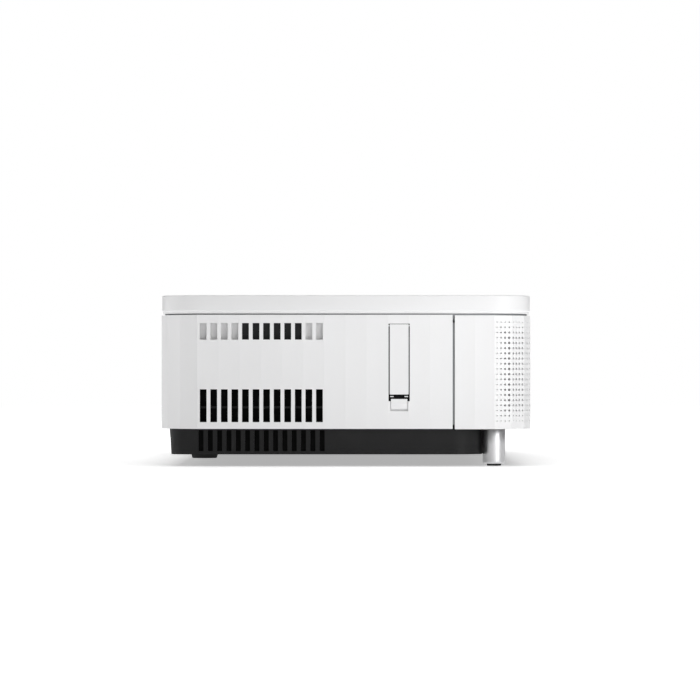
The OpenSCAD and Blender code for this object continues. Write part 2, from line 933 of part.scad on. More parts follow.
// Fine gauze behind the air slots, each a thin sheet
module vent_screens() {
    t = 0.6;
    upper_x = half_w - wall - 3;
    lower_x = half_w - wall - 6;
    base_x = tub_x - tub_t;
    color("#202022") {
        for (s = [-1, 1]) {
            translate([s < 0 ? -upper_x : upper_x - t, baffle_window[0] - 2, 110])
                cube([t, baffle_window[1] - baffle_window[0] + 4, 24]);
            translate([s < 0 ? -base_x : base_x - t, 16, base_z0 + tub_t])
                cube([t, 122, flange_z1 - base_z0 - tub_t - 0.5]);
        }
        translate([-lower_x, 16, flange_z1])
            cube([t, 122, 38]);
    }
}

module left_vent_louvre() {
    x = -half_w + wall + 4;
    bar_z = [53.2, 55.2];
    color("#161618")
        difference() {
            span([x, 15, flange_z1], [x + 2, 142, 76]);
            span([x - 1, 17, 40], [x + 3, 140, bar_z[0]]);
            span([x - 1, 17, bar_z[1]], [x + 3, 140, 74]);
        }
}

module filter_tray() {
    depth = 22;
    color("#efefef")
        difference() {
            span([half_w - wall, filter_y[0] + gap, filter_z[0] + gap],
                [half_w, filter_y[1] - gap, filter_z[1] - gap]);
            slot_row(half_w - wall - 1, half_w + 1, slot_n, slot_y0, slot_pitch, slot_w,
                lower_slots);
        }
    color("#3c3d40") {
        for (y = [filter_y[0] + 1, filter_y[1] - 4])
            span([half_w - wall - depth, y, filter_z[0] + 4], [half_w - wall, y + 3, filter_z[1] - 4]);
        span([half_w - wall - depth, filter_y[0] + 3.9, filter_z[0] + 4],
            [half_w - wall - depth + 14, filter_y[1] - 3.9, filter_z[1] - 4]);
    }
}

module io_plate() {
    color("#2c2d30")
        difference() {
            span([io_x[0] - 3, io_back - 2, io_z[0] - 3], [io_x[1] + 3, half_d - wall, io_z[1] + 3]);
            span([io_x[0], io_back, io_z[0]], [io_x[1], half_d, io_z[1]]);
            for (s = socket_list)
                translate([s[0], io_back - 5, s[1]])
                    rotate([-90, 0, 0])
                        translate([-s[2] / 2 - 0.1, -s[3] / 2 - 0.1, 0])
                            cube([s[2] + 0.2, s[3] + 0.2, 10]);
        }
}

module signal_sockets() {
    color("#c4c7ca")
        for (s = socket_list)
            translate([s[0], io_back + 1.2, s[1]])
                rotate([90, 0, 0])
                    difference() {
                        translate([-s[2] / 2, -s[3] / 2, 0])
                            cube([s[2], s[3], 16]);
                        difference() {
                            translate([-s[2] / 2 + 0.8, -s[3] / 2 + 0.8, -1])
                                cube([s[2] - 1.6, s[3] - 1.6, 13]);
                            translate([-s[2] / 2 + 3, -0.8, -2])
                                cube([s[2] - 6, 1.6, 16]);
                        }
                    }
}

module ac_inlet() {
    color("#1a1a1c")
        difference() {
            translate([inlet_x, half_d - 1, inlet_z])
                rotate([90, 0, 0])
                    linear_extrude(26)
                        round_rect([32.4, 26.4], 2.8);
            translate([inlet_x, half_d, inlet_z])
                rotate([90, 0, 0])
                    linear_extrude(18)
                        round_rect([24.8, 17], 3.5);
        }
    color("#d2b36a")
        for (p = [[-7, -1], [0, 2.6], [7, -1]])
            span([inlet_x + p[0] - 1, half_d - 21, inlet_z + p[1] - 2],
                [inlet_x + p[0] + 1, half_d - 6, inlet_z + p[1] + 2]);
}

module ir_window() {
    color("#1a0d10")
        translate([0, -half_d + wall + 0.8, ir_z])
            rotate([90, 0, 0])
                linear_extrude(wall + 0.3)
                    round_rect(ir_size, 4.2);
}

module status_light_pipe() {
    color("#dfe8ee") {
        for (p = light_xy)
            translate([p[0], p[1], body_h - 8])
                cylinder(d = light_d, h = 7.9);
        span([-18, -150, body_h - 10], [18, -146, body_h - 7.9]);
    }
}

module power_button() {
    color("#e9e9e9") {
        x_rod(half_w - wall - 1, half_w - 0.2, button_y, button_z, button_d);
        x_rod(half_w - wall - 2.6, half_w - wall - 1, button_y, button_z, button_d + 4);
        x_rod(half_w - wall - 8, half_w - wall - 2.5, button_y, button_z, 4);
    }
}

module power_switch() {
    x1 = half_w - wall - 13;
    color("#1f6b46")
        union() {
            span([x1 - 2, button_y - 14, button_z - 14], [x1, button_y + 14, button_z + 14]);
            for (y = [-11.5, 11.5], z = [-11.5, 11.5])
                x_rod(x1 - 1, half_w - wall, button_y + y, button_z + z, 4);
        }
    color("#2a2a2c")
        span([x1, button_y - 3, button_z - 3], [x1 + 3, button_y + 3, button_z + 3]);
}

// ---- fasteners ----

module screw(head_d, head_h, d, h) {
    cylinder(d = head_d, h = head_h);
    cylinder(d = d, h = h);
}

module case_screws() {
    color("#3f4246")
        for (p = boss_xy)
            translate([p[0], p[1], base_z0 + 3])
                screw(6, 1.9, 3, 25);
}

module board_screws() {
    spots = [
        [105, -95], [105, 15], [265, -95], [265, 15], [-285, -107], [-285, -41], [-125, -107],
        [-125, -41]
    ];
    color("#8c9096")
        for (p = spots)
            translate([p[0], p[1], 51.6])
                mirror([0, 0, 1])
                    screw(5.6, 2, 3, 11);
}

base_tray();
chassis_frame();
upper_frame();
left_side_panel();
right_side_panel();
rear_panel();
front_cover();
top_cover();
speaker_mesh();
window_bezel();
projection_window();
obstacle_sensors();
rear_foot();
foot_bushes();
foot_pad(-1);  // left_foot_pad
foot_sleeve(-1);  // left_foot_sleeve
foot_pad(1);  // right_foot_pad
foot_sleeve(1);  // right_foot_sleeve
focus_door();
door_hinge_pin();
latch_tab();
latch_spring();
focus_slot_plate();
focus_lever();
shaft_brackets();
focus_cell();
lens_barrel();
relay_lens();
aspheric_mirror();
mirror_bracket();
optical_engine_case();
prism_block();
lcd_panels();
laser_module();
heat_sink();
wheel_motor();
phosphor_wheel();
main_board();
power_board();
fan_frame(exhaust_x);  // exhaust_fan_frame
impeller(exhaust_x);  // exhaust_impeller
fan_frame(intake_x);  // intake_fan_frame
impeller(intake_x);  // intake_impeller
speaker_case(-1);  // left_speaker_box
speaker_case(1);  // right_speaker_box
speaker_driver(-1);  // left_speaker_driver
speaker_driver(1);  // right_speaker_driver
vent_baffles();
left_vent_louvre();
vent_screens();
filter_tray();
io_plate();
signal_sockets();
ac_inlet();
ir_window();
status_light_pipe();
power_button();
power_switch();
case_screws();
board_screws();
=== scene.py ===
"""The visual model of an ultra-short-throw home projector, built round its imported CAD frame.

The object stands on the floor at z = 0. Its loudspeaker face looks along -Y and its left side,
which the camera sees, along -X.
"""

import json
import math

import bmesh
import bpy
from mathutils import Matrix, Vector


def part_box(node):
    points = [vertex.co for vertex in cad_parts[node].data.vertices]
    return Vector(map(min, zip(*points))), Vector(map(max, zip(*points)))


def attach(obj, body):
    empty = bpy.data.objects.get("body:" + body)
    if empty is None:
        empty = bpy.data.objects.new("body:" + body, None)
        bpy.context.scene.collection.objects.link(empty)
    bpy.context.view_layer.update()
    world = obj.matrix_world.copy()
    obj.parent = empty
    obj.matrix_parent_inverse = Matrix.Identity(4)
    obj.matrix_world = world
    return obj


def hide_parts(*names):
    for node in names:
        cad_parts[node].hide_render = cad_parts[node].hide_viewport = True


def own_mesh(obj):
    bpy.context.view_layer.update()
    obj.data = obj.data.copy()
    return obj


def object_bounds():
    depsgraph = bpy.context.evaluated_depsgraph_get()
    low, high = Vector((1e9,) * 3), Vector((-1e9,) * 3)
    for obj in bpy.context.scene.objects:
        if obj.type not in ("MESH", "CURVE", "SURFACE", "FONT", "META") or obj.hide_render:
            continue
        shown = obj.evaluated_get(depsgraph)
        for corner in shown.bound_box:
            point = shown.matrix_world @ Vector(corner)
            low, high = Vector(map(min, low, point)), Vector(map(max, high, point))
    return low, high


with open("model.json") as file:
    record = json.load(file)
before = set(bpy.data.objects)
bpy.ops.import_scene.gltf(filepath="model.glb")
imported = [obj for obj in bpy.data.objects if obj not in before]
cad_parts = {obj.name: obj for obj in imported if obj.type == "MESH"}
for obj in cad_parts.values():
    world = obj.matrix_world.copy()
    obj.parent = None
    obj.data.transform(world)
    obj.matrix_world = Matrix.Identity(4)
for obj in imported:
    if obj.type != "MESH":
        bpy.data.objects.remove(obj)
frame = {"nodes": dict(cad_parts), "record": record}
cad_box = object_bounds()

MM = 0.001
HIGH = Vector(cad_box[1])
HALF_W = HIGH.x
HALF_D = HIGH.y
TOP_Z = HIGH.z
BODIES = frame["record"]["behaviour"]["bodies"]
NODE_BODY = {node: body for body, names in BODIES.items() for node in names}

# ---- camera ----

CAMERA_DISTANCE = 3.4  # from the side panel
CAMERA_Y = -3.7 * MM
CAMERA_Z = 84.7 * MM
SENSOR_WIDTH = 36  # millimetres, as a camera states it
LENS_LENGTH = 190.954  # millimetres
HORIZON_DROP = 0.03429  # how far the horizon lies below the middle, as a share of the frame


def add_camera():
    data = bpy.data.cameras.new("camera")
    data.sensor_width = SENSOR_WIDTH
    data.lens = LENS_LENGTH
    data.shift_y = HORIZON_DROP
    data.clip_end = 100
    camera = bpy.data.objects.new("camera", data)
    camera.location = (-HALF_W - CAMERA_DISTANCE, CAMERA_Y, CAMERA_Z)
    camera.rotation_euler = (math.radians(90), 0, math.radians(-90))
    bpy.context.scene.collection.objects.link(camera)
    bpy.context.scene.camera = camera


add_camera()

# ---- materials ----


def new_material(name):
    material = bpy.data.materials.new(name)
    material.use_nodes = True
    tree = material.node_tree
    return material, tree.nodes, tree.links, tree.nodes["Principled BSDF"]


def noise(nodes, links, coords, scale, detail=2.0, rough=0.5, stretch=None):
    """A noise texture on object coordinates. scale is in features per metre."""
    source = coords.outputs["Object"]
    if stretch:
        mapping = nodes.new("ShaderNodeMapping")
        mapping.inputs["Scale"].default_value = stretch
        links.new(source, mapping.inputs["Vector"])
        source = mapping.outputs["Vector"]
    texture = nodes.new("ShaderNodeTexNoise")
    texture.inputs["Scale"].default_value = scale
    texture.inputs["Detail"].default_value = detail
    texture.inputs["Roughness"].default_value = rough
    links.new(source, texture.inputs["Vector"])
    return texture.outputs["Fac"]


def remap(nodes, links, value, low, high):
    node = nodes.new("ShaderNodeMapRange")
    node.inputs["From Min"].default_value = 0.3
    node.inputs["From Max"].default_value = 0.7
    node.inputs["To Min"].default_value = low
    node.inputs["To Max"].default_value = high
    links.new(value, node.inputs["Value"])
    return node.outputs["Result"]


def mix_colour(nodes, links, factor, a, b):
    node = nodes.new("ShaderNodeMix")
    node.data_type = "RGBA"
    node.inputs["A"].default_value = (*a, 1)
    node.inputs["B"].default_value = (*b, 1)
    links.new(factor, node.inputs["Factor"])
    return node.outputs["Result"]


def bump(nodes, links, height, shader, distance):
    node = nodes.new("ShaderNodeBump")
    node.inputs["Distance"].default_value = distance
    links.new(height, node.inputs["Height"])
    links.new(node.outputs["Normal"], shader.inputs["Normal"])


def shade(colour, factor):
    return tuple(min(1.0, c * factor) for c in colour)


def moulded(name, colour, rough=0.45, grain=0.02 * MM, grain_scale=2600, vary=0.03, specular=0.5):
    """Injection-moulded plastic: spark-eroded grain, slow colour drift and uneven gloss."""
    material, nodes, links, shader = new_material(name)
    coords = nodes.new("ShaderNodeTexCoord")
    drift = noise(nodes, links, coords, 9, 3)
    fleck = noise(nodes, links, coords, 900, 2)
    tint = nodes.new("ShaderNodeMath")
    tint.operation = "MULTIPLY_ADD"
    tint.inputs[1].default_value = 0.7
    links.new(drift, tint.inputs[0])
    scaled = nodes.new("ShaderNodeMath")
    scaled.operation = "MULTIPLY"
    scaled.inputs[1].default_value = 0.3
    links.new(fleck, scaled.inputs[0])
    links.new(scaled.outputs[0], tint.inputs[2])
    level = remap(nodes, links, tint.outputs[0], 0, 1)
    base = mix_colour(nodes, links, level, shade(colour, 1 - vary), shade(colour, 1 + vary))
    links.new(base, shader.inputs["Base Color"])
    patches = noise(nodes, links, coords, 60, 4)
    roughness = remap(nodes, links, patches, rough - 0.05, rough + 0.06)
    links.new(roughness, shader.inputs["Roughness"])
    shader.inputs["Specular IOR Level"].default_value = specular
    fine = noise(nodes, links, coords, grain_scale, 2, 0.6)
    bump(nodes, links, fine, shader, grain)
    return material


def metal(name, colour, rough=0.35, stretch=(1, 1, 1), scale=900, vary=0.05, lines=0.01 * MM):
    """Metal with machining lines: noise stretched across the direction of the tool."""
    material, nodes, links, shader = new_material(name)
    coords = nodes.new("ShaderNodeTexCoord")
    tool = noise(nodes, links, coords, scale, 3, 0.6, stretch)
    level = remap(nodes, links, tool, 0, 1)
    base = mix_colour(nodes, links, level, shade(colour, 1 - vary), shade(colour, 1 + vary))
    links.new(base, shader.inputs["Base Color"])
    roughness = remap(nodes, links, tool, rough - 0.06, rough + 0.08)
    links.new(roughness, shader.inputs["Roughness"])
    shader.inputs["Metallic"].default_value = 1.0
    bump(nodes, links, tool, shader, lines)
    return material


def rubber(name, colour):
    return moulded(name, colour, 0.78, 0.05 * MM, 1500, 0.15, 0.3)


def woven(name, colour, pitch, sheen=0.2, specular=0.5):
    """Plain-woven cloth: two crossed waves lift the threads."""
    material, nodes, links, shader = new_material(name)
    coords = nodes.new("ShaderNodeTexCoord")
    waves = []
    for direction in ("X", "Z"):
        wave = nodes.new("ShaderNodeTexWave")
        wave.bands_direction = direction
        wave.inputs["Scale"].default_value = 0.314 / pitch
        wave.inputs["Distortion"].default_value = 0.4
        links.new(coords.outputs["Object"], wave.inputs["Vector"])
        waves.append(wave.outputs["Fac"])
    product = nodes.new("ShaderNodeMath")
    product.operation = "MULTIPLY"
    links.new(waves[0], product.inputs[0])
    links.new(waves[1], product.inputs[1])
    base = mix_colour(nodes, links, product.outputs[0], shade(colour, 0.5), shade(colour, 1.4))
    links.new(base, shader.inputs["Base Color"])
    shader.inputs["Roughness"].default_value = 0.9
    shader.inputs["Sheen Weight"].default_value = sheen
    shader.inputs["Specular IOR Level"].default_value = specular
    bump(nodes, links, product.outputs[0], shader, 0.1 * MM)
    return material


def clear(name, colour, rough=0.02, ior=1.5):
    """Coated glass with faint unevenness in its gloss."""
    material, nodes, links, shader = new_material(name)
    coords = nodes.new("ShaderNodeTexCoord")
    smear = noise(nodes, links, coords, 25, 4)
    base = mix_colour(nodes, links, smear, shade(colour, 0.97), colour)
    links.new(base, shader.inputs["Base Color"])
    links.new(remap(nodes, links, smear, rough, rough + 0.03), shader.inputs["Roughness"])
    shader.inputs["Transmission Weight"].default_value = 0.9
    shader.inputs["IOR"].default_value = ior
    shader.inputs["Coat Weight"].default_value = 0.4
    return material


def gloss(name, colour, rough=0.12, coat=0.5):
    """Polished plastic or lacquer with a thin clear layer and faint orange peel."""
    material, nodes, links, shader = new_material(name)
    coords = nodes.new("ShaderNodeTexCoord")
    drift = noise(nodes, links, coords, 30, 3)
    base = mix_colour(nodes, links, drift, shade(colour, 0.85), shade(colour, 1.15))
    links.new(base, shader.inputs["Base Color"])
    links.new(remap(nodes, links, drift, rough, rough + 0.06), shader.inputs["Roughness"])
    shader.inputs["Coat Weight"].default_value = coat
    bump(nodes, links, noise(nodes, links, coords, 400, 1), shader, 0.004 * MM)
    return material


def circuit(name, colour, copper):
    """Solder mask over copper: cells of tracks and pads show through it."""
    material, nodes, links, shader = new_material(name)
    coords = nodes.new("ShaderNodeTexCoord")
    cells = nodes.new("ShaderNodeTexVoronoi")
    cells.feature = "F1"
    cells.distance = "CHEBYCHEV"
    cells.inputs["Scale"].default_value = 230
    links.new(coords.outputs["Object"], cells.inputs["Vector"])
    step = nodes.new("ShaderNodeMapRange")
    step.inputs["From Min"].default_value = 0.38
    step.inputs["From Max"].default_value = 0.42
    links.new(cells.outputs["Distance"], step.inputs["Value"])
    base = mix_colour(nodes, links, step.outputs["Result"], colour, copper)
    links.new(base, shader.inputs["Base Color"])
    shader.inputs["Roughness"].default_value = 0.32
    shader.inputs["Coat Weight"].default_value = 0.3
    bump(nodes, links, step.outputs["Result"], shader, 0.03 * MM)
    return material


WHITE = (0.86, 0.86, 0.865)
BLACK = (0.008, 0.008, 0.0085)
MATERIALS = {
    "white_shell": moulded("white_shell", WHITE, 0.42, 0.012 * MM, 2600, 0.012),
    "white_top": moulded("white_top", WHITE, 0.40, 0.012 * MM, 2600, 0.012),
    "black_base": moulded("black_base", BLACK, 0.5, 0.03 * MM, 2200, 0.12, 0.25),
    # dark grey: partly the upper frame's own colour, partly painted shade where it shows in the seam
    # gaps; on the seam lips it is painted shade only
    "grey_frame": moulded("grey_frame", (0.32, 0.33, 0.34), 0.5),
    "grey_baffle": moulded("grey_baffle", (0.80, 0.80, 0.80), 0.5),
    "dark_gauze": woven("dark_gauze", (0.004, 0.004, 0.004), 0.5 * MM, 0.0, 0.1),
    "dark_mesh": woven("dark_mesh", (0.03, 0.03, 0.032), 0.9 * MM),
    "black_gloss": gloss("black_gloss", (0.008, 0.008, 0.009), 0.25, 0.2),
    "clear_glass": clear("clear_glass", (0.93, 0.96, 0.98)),
    "sensor_lens": gloss("sensor_lens", (0.03, 0.004, 0.006), 0.06, 1.0),
    "black_rubber": rubber("black_rubber", (0.016, 0.016, 0.016)),
    "satin_aluminium": metal("satin_aluminium", (0.80, 0.80, 0.81), 0.36, (1, 1, 14)),
    "fin_aluminium": metal("fin_aluminium", (0.72, 0.73, 0.74), 0.35, (1, 12, 1)),
    "black_alloy": metal("black_alloy", (0.05, 0.05, 0.055), 0.45),
    "brass_insert": metal("brass_insert", (0.75, 0.55, 0.25), 0.3, (1, 1, 12)),
    "bright_steel": metal("bright_steel", (0.62, 0.63, 0.65), 0.28, (8, 1, 1)),
    "sheet_steel": metal("sheet_steel", (0.55, 0.56, 0.58), 0.42, (1, 6, 1), 500, 0.1),
    "lever_plastic": moulded("lever_plastic", (0.62, 0.62, 0.62)),
    "mirror_coat": metal("mirror_coat", (0.90, 0.92, 0.94), 0.1, (1, 1, 1), 200, 0.01, 0.001 * MM),
    "phosphor_disc": metal("phosphor_disc", (0.80, 0.62, 0.08), 0.4),
    "board_green": circuit("board_green", (0.01, 0.09, 0.04), (0.05, 0.22, 0.10)),
    "board_brown": circuit("board_brown", (0.16, 0.09, 0.03), (0.28, 0.18, 0.07)),
    "fan_black": moulded("fan_black", (0.018, 0.018, 0.02), 0.42),
    "cone_black": moulded("cone_black", (0.03, 0.03, 0.034), 0.7, 0.06 * MM, 900, 0.2),
}
NODE_SLOT = {part["node"]: part["material_slot"] for part in frame["record"]["subparts"]}

for node_name, node_object in frame["nodes"].items():
    node_object.data.materials.clear()
    node_object.data.materials.append(MATERIALS[NODE_SLOT[node_name]])

# ---- mesh helpers ----


def finish_piece(obj, node, slot=None, replaces=True):
    """Gives a piece its material and the body of the CAD node it stands for, and hides that node when
    the piece replaces it.
    """
    slot = slot or NODE_SLOT[node]
    obj.data.materials.clear()
    obj.data.materials.append(MATERIALS[slot])
    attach(obj, NODE_BODY[node])
    if replaces:
        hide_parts(node)
    return obj


def add_object(name, mesh):
    obj = bpy.data.objects.new(name, mesh)
    bpy.context.scene.collection.objects.link(obj)
    return obj


def smooth(mesh, angle=32):
    mesh.polygons.foreach_set("use_smooth", [True] * len(mesh.polygons))
    mesh.set_sharp_from_angle(angle=math.radians(angle))


def add_bevel(obj, width, segments=2, by_weight=False, angle=32):
    modifier = obj.modifiers.new("edge", "BEVEL")
    modifier.width = width
    modifier.segments = segments
    modifier.limit_method = "WEIGHT" if by_weight else "ANGLE"
    modifier.angle_limit = math.radians(angle)
    modifier.harden_normals = True
    modifier.use_clamp_overlap = True
    return modifier


def refined(node, width=0.4 * MM, segments=2, shape=None, name=None):
    """A clean copy of a CAD node's mesh with rounded edges. shape moves its points first."""
    work = bmesh.new()
    work.from_mesh(frame["nodes"][node].data)
    bmesh.ops.remove_doubles(work, verts=work.verts, dist=0.002 * MM)
    bmesh.ops.dissolve_limit(
        work, angle_limit=math.radians(1), verts=work.verts, edges=work.edges
    )
    if shape:
        for vertex in work.verts:
            vertex.co = shape(vertex.co)
    mesh = bpy.data.meshes.new(name or node + "_detail")
    work.to_mesh(mesh)
    work.free()
    smooth(mesh)
    obj = add_object(name or node + "_detail", mesh)
    if width:
        add_bevel(obj, width, segments)
    return finish_piece(obj, node)


# ---- fluted panels ----

FLUTE_DEPTH = 0.35 * MM
CORNER = 34.2 * MM
CORNER_TURNS = [24, 45.5, 69]
CORNER_CHORD = CORNER / sum(math.cos(math.radians(a)) for a in CORNER_TURNS)
SIDE_RIDGE_Y = 136.0 * MM
FLUTE = 19.36 * MM
FRONT_FLUTES = 32
REAR_FLUTES = 30
WALL = 3 * MM
FLUTE_ANGLE = 40  # edges flatter than this are smooth
OPENING_CLEAR = 0.012  # of a flute, without mesh steps, beside an opening
RIDGE_STEPS = [0.02, 0.1, 0.26, 0.42, 0.58, 0.74, 0.9, 0.98]
HOLE_STEPS = [0.02, 0.26, 0.5, 0.74, 0.98]


def corner_ridges():
    """Plan points from the side face round to the end face, in the +X +Y quarter."""
    points = [Vector((HALF_W, HALF_D - CORNER))]
    for turn in CORNER_TURNS:
        a = math.radians(turn)
        points.append(points[-1] + CORNER_CHORD * Vector((-math.sin(a), math.cos(a))))
    return points


def mirrored(points, sx, sy):
    return [Vector((sx * p.x, sy * p.y)) for p in points]


class Flutes:
    """A run of concave flutes between ridge points in plan, seen from outside."""

    def __init__(self, ridges):
        self.ridges = ridges
        self.chords = [b - a for a, b in zip(ridges, ridges[1:])]
        turn = sum(a.x * b.y - a.y * b.x for a, b in zip(ridges, ridges[1:]))
        self.side = 1 if turn > 0 else -1

    def normal(self, i):
        c = self.chords[i].normalized()
        return Vector((c.y, -c.x)) * self.side

    def point(self, u, z, inset=0.0):
        """The surface at u, counted in flutes from the first ridge, moved inwards by inset."""
        i = min(int(u), len(self.chords) - 1)
        t = u - i
        n = self.normal(i)
        dip = FLUTE_DEPTH * 4 * t * (1 - t)
        p = self.ridges[i] + t * self.chords[i] - n * dip
        q = p - self.mean_normal(u) * inset
        return Vector((q.x, q.y, z))

    def mean_normal(self, u):
        """The normal, turned smoothly at the ridges, long enough to keep the wall even."""
        i = min(int(u), len(self.chords) - 1)
        t = u - i
        near = 0.03
        if t < near and i > 0:
            j = i - 1
            w = 0.5 - t / near / 2
        elif t > 1 - near and i < len(self.chords) - 1:
            j = i + 1
            w = 0.5 - (1 - t) / near / 2
        else:
            return self.normal(i)
        a, b = self.normal(i), self.normal(j)
        n = ((1 - w) * a + w * b).normalized()
        return n / max(0.5, n.dot(a))

    def u_at(self, axis, value):
        """Where the run crosses a plan coordinate: axis 0 is X and 1 is Y."""
        for i, (a, b) in enumerate(zip(self.ridges, self.ridges[1:])):
            low, high = sorted((a[axis], b[axis]))
            if low - 1e-9 <= value <= high + 1e-9 and high - low > 1e-6:
                return i + (value - a[axis]) / (b[axis] - a[axis])
        raise ValueError(f"the flutes don't cross {value}")


def merged(values, least):
    """Sorted values with near-equal ones joined."""
    result = []
    for v in sorted(values):
        if not result or v - result[-1] > least:
            result.append(v)
    return result


def fluted_shell(
    name,
    flutes,
    z_levels,
    windows=(),
    holes=None,
    steps=RIDGE_STEPS,
    edge=0.35 * MM,
    wall=WALL,
    part=None,
):
    """A fluted wall of even thickness, over the whole run or part of it.

    windows are (u0, u1, z0, z1). holes gives a round hole's radius for a cell, or None.
    """
    count = len(flutes.chords)
    start, end = part or (0.0, float(count))
    fixed = [w[k] for w in windows for k in (0, 1)] + [start, end]
    us = [i + s for i in range(count) for s in [0.0] + steps]
    us = [u for u in us if start < u < end and all(abs(u - f) > OPENING_CLEAR for f in fixed)]
    us = merged(us + fixed, 1e-6)
    zs = merged(list(z_levels) + [w[k] for w in windows for k in (2, 3)], 1e-7)
    mesh = bmesh.new()
    outer, inner = {}, {}

    def pair(key, u, z):
        if key not in outer:
            outer[key] = mesh.verts.new(flutes.point(u, z))
            inner[key] = mesh.verts.new(flutes.point(u, z, wall))
        return key

    def add_face(keys):
        mesh.faces.new([outer[k] for k in keys])
        mesh.faces.new([inner[k] for k in reversed(keys)])

    border = {}

    def count_edges(keys, is_hole):
        for a, b in zip(keys, keys[1:] + keys[:1]):
            if (b, a) in border:
                del border[(b, a)]
            else:
                border[(a, b)] = is_hole

    def add_hole(corners, u0, u1, z0, z1, radius):
        u_mid, z_mid = (u0 + u1) / 2, (z0 + z1) / 2
        chord = flutes.chords[int(u_mid)].length
        ring = []
        for k in range(8):
            a = math.radians(22.5 + 45 * k)
            ring.append(pair(("hole", u_mid, z_mid, k), u_mid + radius * math.cos(a) / chord,
                             z_mid + radius * math.sin(a)))
        low_low, high_low, high_high, low_high = corners
        faces = [
            [high_low, high_high, ring[0], ring[7]], [high_high, ring[1], ring[0]],
            [high_high, low_high, ring[2], ring[1]], [low_high, ring[3], ring[2]],
            [low_high, low_low, ring[4], ring[3]], [low_low, ring[5], ring[4]],
            [low_low, high_low, ring[6], ring[5]], [high_low, ring[7], ring[6]],
        ]
        for keys in faces:
            add_face(keys)
            count_edges(keys, False)
        for k in range(8):
            border[(ring[(k + 1) % 8], ring[k])] = True

    for i, (u0, u1) in enumerate(zip(us, us[1:])):
        for j, (z0, z1) in enumerate(zip(zs, zs[1:])):
            u_mid, z_mid = (u0 + u1) / 2, (z0 + z1) / 2
            if any(w[0] < u_mid < w[1] and w[2] < z_mid < w[3] for w in windows):
                continue
            corners = [pair((i, j), u0, z0), pair((i + 1, j), u1, z0),
                       pair((i + 1, j + 1), u1, z1), pair((i, j + 1), u0, z1)]
            radius = holes(u_mid, z_mid, u1 - u0, z1 - z0) if holes else None
            if radius:
                add_hole(corners, u0, u1, z0, z1, radius)
            else:
                add_face(corners)
                count_edges(corners, False)
    weight = mesh.edges.layers.float.new("bevel_weight_edge")
    for (a, b), is_hole in border.items():
        rim = mesh.faces.new([outer[b], outer[a], inner[a], inner[b]])
        if not is_hole:
            for e in rim.edges:
                e[weight] = 1.0
    bmesh.ops.recalc_face_normals(mesh, faces=mesh.faces)
    for e in mesh.edges:
        if e[weight] > 0 and e.calc_face_angle(0) < math.radians(FLUTE_ANGLE):
            e[weight] = 0.0
    data = bpy.data.meshes.new(name)
    mesh.to_mesh(data)
    mesh.free()
    smooth(data, FLUTE_ANGLE)
    obj = add_object(name, data)
    add_bevel(obj, edge, 2, by_weight=True)
    return obj


SIDE_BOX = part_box("left_side_panel")
SHELL_Z0, SHELL_Z1 = SIDE_BOX[0].z, SIDE_BOX[1].z
COVER_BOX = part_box("front_cover")
COVER_REAR_Y = COVER_BOX[1].y
PANEL_FRONT_Y = COVER_REAR_Y + 2 * MM
RETURN_X = abs(SIDE_BOX[1].x)
PANEL_LEVELS = [SHELL_Z0, SHELL_Z1]
SIDE_RIDGES = 11  # between the rear corner and the seam
FIT_GAP = 0.3 * MM  # round a small part set into a panel

SLOT_COUNT = 12
SLOT_PITCH = 9.68 * MM
SLOT_WIDTH = 6.2 * MM
FIRST_SLOT_Y = 130.8 * MM
UPPER_SLOT_Z = (116.2 * MM, 131.4 * MM)
LOWER_SLOT_Z = (40.6 * MM, 70.7 * MM)
DOOR_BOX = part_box("focus_door")
DOOR_Y = (DOOR_BOX[0].y + DOOR_BOX[1].y) / 2
DOOR_GAP = 1.0 * MM
DOOR_TOP_GAP = 0.4 * MM
TAB_HALF = 7.55 * MM
TAB_GAP = 0.5 * MM
TAB_BOTTOM = 52.6 * MM
TAB_TRAVEL_GAP = 1.9 * MM
DOOR_HOLE_BOTTOM = 59.7 * MM


def side_ridges(s):
    """Ridges of a side panel from its rear return round to the seam. s is -1 for the left."""
    corner = list(reversed(mirrored(corner_ridges(), s, 1)))
    start = [Vector((s * RETURN_X, HALF_D))]
    side = [Vector((s * HALF_W, SIDE_RIDGE_Y - FLUTE * k)) for k in range(1, SIDE_RIDGES + 1)]
    return start + corner + side + [Vector((s * HALF_W, PANEL_FRONT_Y))]


def slot_windows(flutes, z_range):
    result = []
    for k in range(SLOT_COUNT):
        y = FIRST_SLOT_Y - SLOT_PITCH * k
        u = sorted((flutes.u_at(1, y - SLOT_WIDTH / 2), flutes.u_at(1, y + SLOT_WIDTH / 2)))
        result.append((u[0], u[1], *z_range))
    return result


def window_at(flutes, axis, low, high, z0, z1):
    u = sorted((flutes.u_at(axis, low), flutes.u_at(axis, high)))
    return (u[0], u[1], z0, z1)


def left_side():
    flutes = Flutes(side_ridges(-1))
    half = (DOOR_BOX[1].y - DOOR_BOX[0].y) / 2 + DOOR_GAP
    tab = TAB_HALF + TAB_GAP
    windows = slot_windows(flutes, UPPER_SLOT_Z) + slot_windows(flutes, LOWER_SLOT_Z)
    windows.append(window_at(flutes, 1, DOOR_Y - half, DOOR_Y + half, DOOR_HOLE_BOTTOM,
                             DOOR_BOX[1].z + DOOR_TOP_GAP))
    windows.append(window_at(flutes, 1, DOOR_Y - tab, DOOR_Y + tab, TAB_BOTTOM - TAB_TRAVEL_GAP,
                             DOOR_HOLE_BOTTOM))
    obj = fluted_shell("left_side_panel_skin", flutes, PANEL_LEVELS, windows)
    return finish_piece(obj, "left_side_panel")


FILTER_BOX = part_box("filter_tray")
FILTER_GAP = 0.5 * MM
FILTER_RAIL = 3 * MM
FILTER_MARGIN = 3.5 * MM  # above and below the media
PLEAT_COUNT = 38
PLEAT_CREST = 14 * MM  # from the back of the tray
PLEAT_DEPTH = 6 * MM


